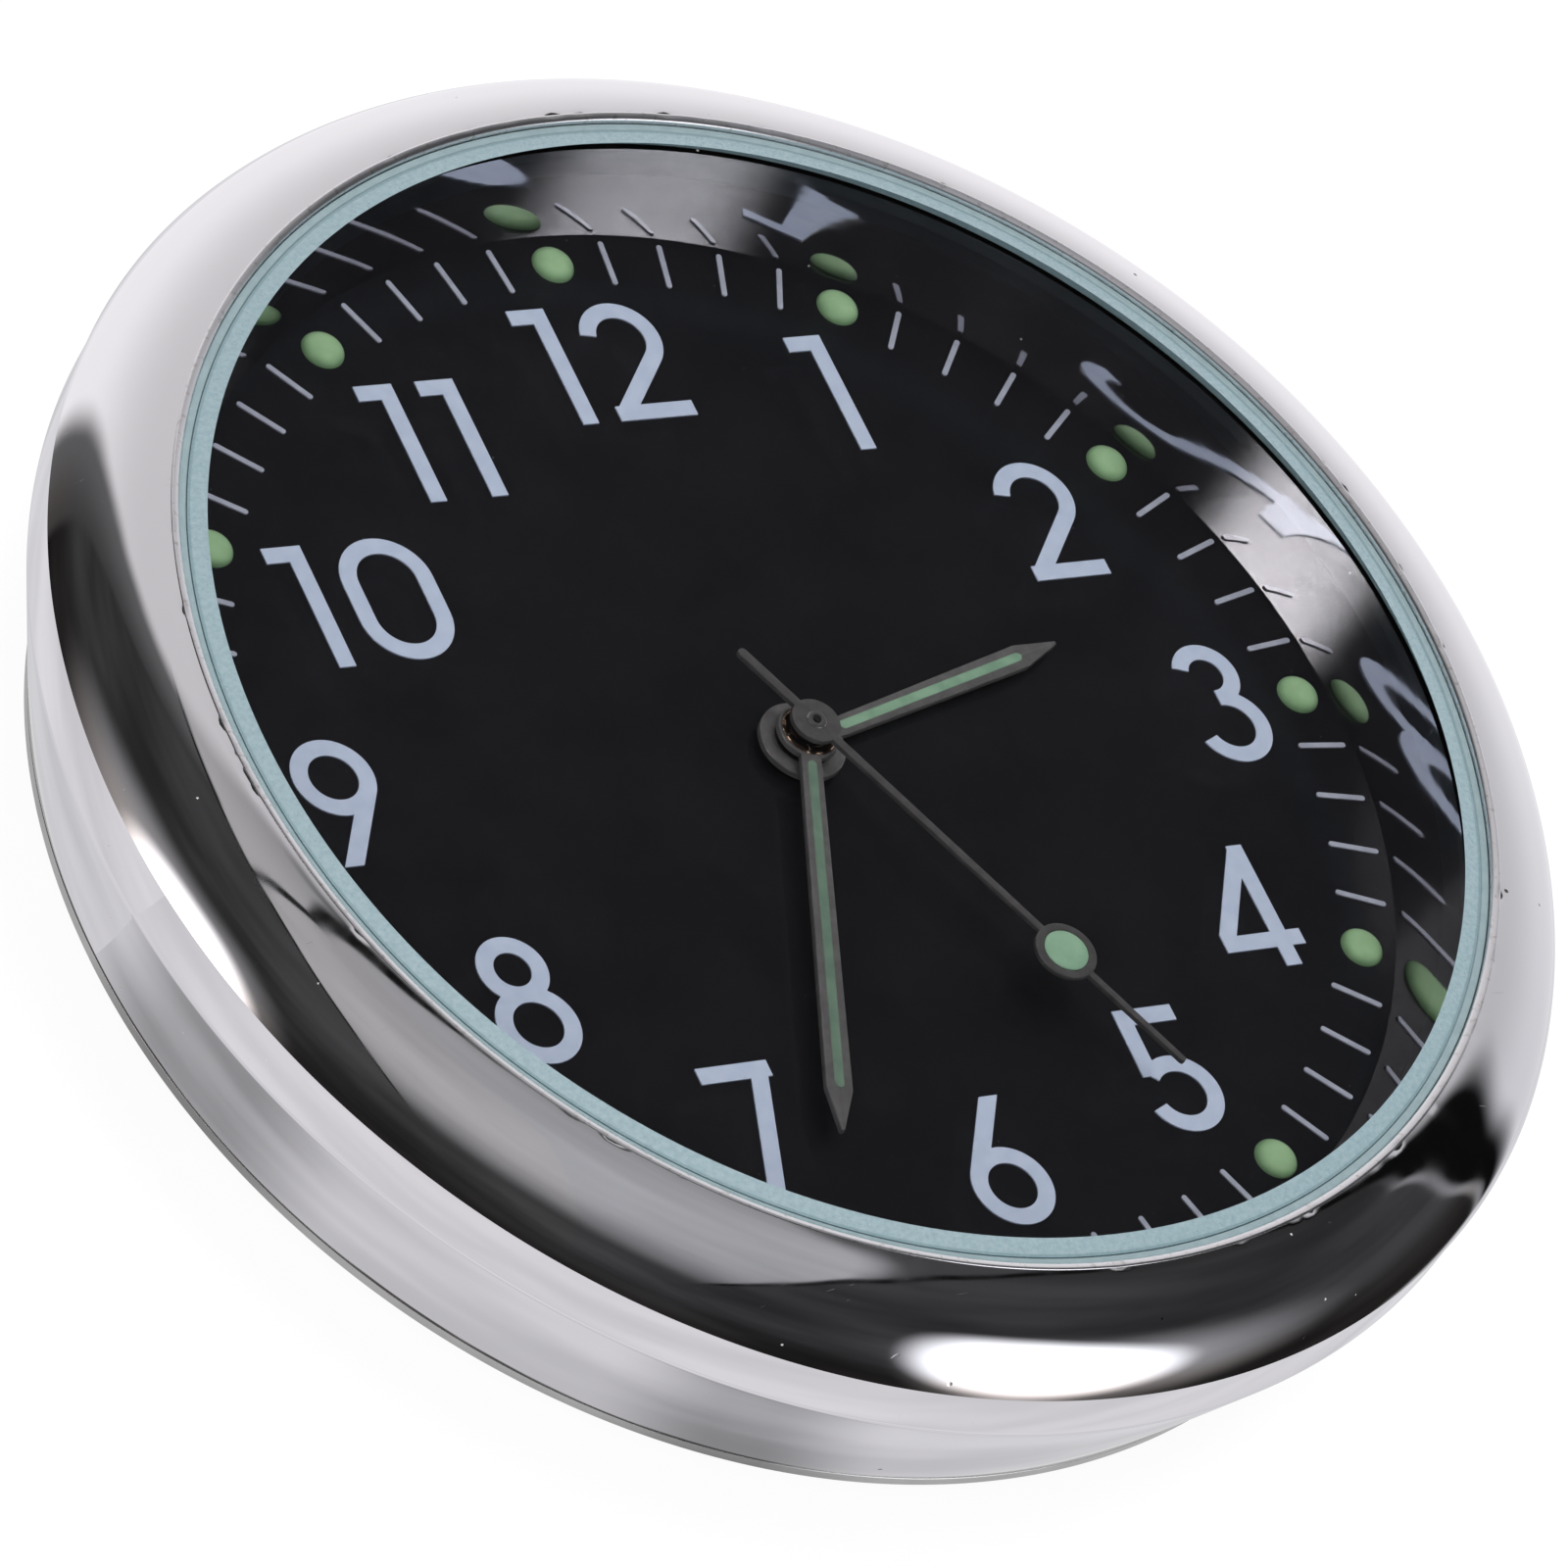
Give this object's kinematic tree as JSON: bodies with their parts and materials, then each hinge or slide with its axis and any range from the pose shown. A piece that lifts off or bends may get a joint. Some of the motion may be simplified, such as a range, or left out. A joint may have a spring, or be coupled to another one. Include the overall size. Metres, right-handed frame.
{
  "type": "dashboard clock",
  "caption": "Round stick-on analogue dashboard clock: domed chrome case, flat glass, black dial with numerals and luminous hands, geared quartz movement.",
  "frame": {"origin": "centre of the foam pad's underside, the face that sticks to the dashboard", "axes": "+Z along the hand axis out of the face, +X to 3 o'clock, +Y to 12 o'clock"},
  "size_m": [0.04, 0.04, 0.009],
  "materials": {
    "chrome": "polished chrome plate, worn and pitted",
    "crystal_glass": "clear flat mineral glass, ground bevel",
    "gasket": "translucent nylon",
    "cover_steel": "turned steel",
    "foam": "black foam tape",
    "seal_rubber": "black rubber",
    "dial_black": "satin black lacquer",
    "dial_print": "pale blue-grey print",
    "lume": "green luminous paint",
    "hand_metal": "grey brushed metal",
    "ring_plastic": "white moulded plastic",
    "plate_brass": "grained brass",
    "wheel_brass": "gilt brass",
    "steel": "turned steel",
    "motor_iron": "annealed iron sheet",
    "copper_wire": "enamelled copper winding",
    "board": "green circuit board",
    "chip_resin": "black resin",
    "cell_steel": "nickel-plated steel",
    "magnet": "sintered magnet"
  },
  "bodies": {
    "base": {"adhesive_pad": "foam", "back_cover": "cover_steel", "cover_seal": "seal_rubber"},
    "clock": {"case": "chrome", "crystal": "crystal_glass", "crystal_gasket": "gasket", "dial": "dial_black", "hour_dots": "lume", "minute_track": "dial_print", "numerals": "dial_print", "movement_ring": "ring_plastic", "main_plate": "plate_brass", "train_bridge": "plate_brass", "plate_screws": "steel", "stator": "motor_iron", "coil_core": "motor_iron", "coil_winding": "copper_wire", "circuit_board": "board", "chip": "chip_resin", "quartz_can": "cell_steel", "battery": "cell_steel", "battery_clip": "wheel_brass", "dial_washer": "wheel_brass"},
    "hour": {"hour_hand": "hand_metal", "hour_lume": "lume", "hour_wheel": "wheel_brass"},
    "minute": {"minute_hand": "hand_metal", "minute_lume": "lume", "cannon_pinion": "wheel_brass", "centre_wheel": "wheel_brass"},
    "second": {"second_hand": "hand_metal", "second_lume": "lume", "seconds_wheel": "wheel_brass"},
    "third": {"third_wheel": "wheel_brass"},
    "intermediate": {"intermediate_wheel": "wheel_brass"},
    "rotor": {"rotor_pinion": "steel", "rotor_magnet": "magnet"},
    "minute_work": {"minute_wheel": "wheel_brass"},
    "setting": {"setting_wheel": "steel"},
    "clutch": {"clutch_pinion": "steel"},
    "stem_and_crown": {"stem": "steel", "crown": "steel"}
  },
  "joints": [
    {"name": "case_lift", "type": "slide", "parent": "base", "child": "clock", "axis": [0, 0, 1], "range_m": [0, 0.012]},
    {"name": "minute_turn", "type": "hinge", "parent": "clock", "child": "minute", "pos_m": [0, 0, 0.00359], "axis": [0, 0, -1], "continuous": true},
    {"name": "hour_turn", "type": "hinge", "parent": "clock", "child": "hour", "pos_m": [0, 0, 0.00398], "axis": [0, 0, -1], "continuous": true},
    {"name": "second_turn", "type": "hinge", "parent": "clock", "child": "second", "pos_m": [0, 0, 0.002], "axis": [0, 0, -1], "continuous": true},
    {"name": "third_turn", "type": "hinge", "parent": "clock", "child": "third", "pos_m": [-0.00236, 0.00136, 0.002], "axis": [0, 0, -1], "continuous": true},
    {"name": "intermediate_turn", "type": "hinge", "parent": "clock", "child": "intermediate", "pos_m": [0.00211, 0.00177, 0.002], "axis": [0, 0, -1], "continuous": true},
    {"name": "rotor_turn", "type": "hinge", "parent": "clock", "child": "rotor", "pos_m": [0.00265, 0.00379, 0.002], "axis": [0, 0, -1], "continuous": true},
    {"name": "minute_work_turn", "type": "hinge", "parent": "clock", "child": "minute_work", "pos_m": [0.00208, -0.0012, 0.00398], "axis": [0, 0, -1], "continuous": true},
    {"name": "setting_turn", "type": "hinge", "parent": "clock", "child": "setting", "pos_m": [0.0046, -0.00024, 0.00398], "axis": [0, 0, -1], "continuous": true},
    {"name": "crown_turn", "type": "hinge", "parent": "clock", "child": "clutch", "pos_m": [0.00573, 0, 0.00332], "axis": [1, 0, 0], "continuous": true},
    {"name": "stem_pull", "type": "slide", "parent": "clutch", "child": "stem_and_crown", "axis": [1, 0, 0], "range_m": [0, 0.0006]}
  ],
  "couplings": [
    {"joint": "hour_turn", "follows": "minute_turn", "ratio": 0.083333},
    {"joint": "second_turn", "follows": "minute_turn", "ratio": 60},
    {"joint": "third_turn", "follows": "minute_turn", "ratio": -8},
    {"joint": "intermediate_turn", "follows": "minute_turn", "ratio": -300},
    {"joint": "rotor_turn", "follows": "minute_turn", "ratio": 1800},
    {"joint": "minute_work_turn", "follows": "minute_turn", "ratio": -0.33333},
    {"joint": "setting_turn", "follows": "minute_turn", "ratio": 0.66667}
  ]
}
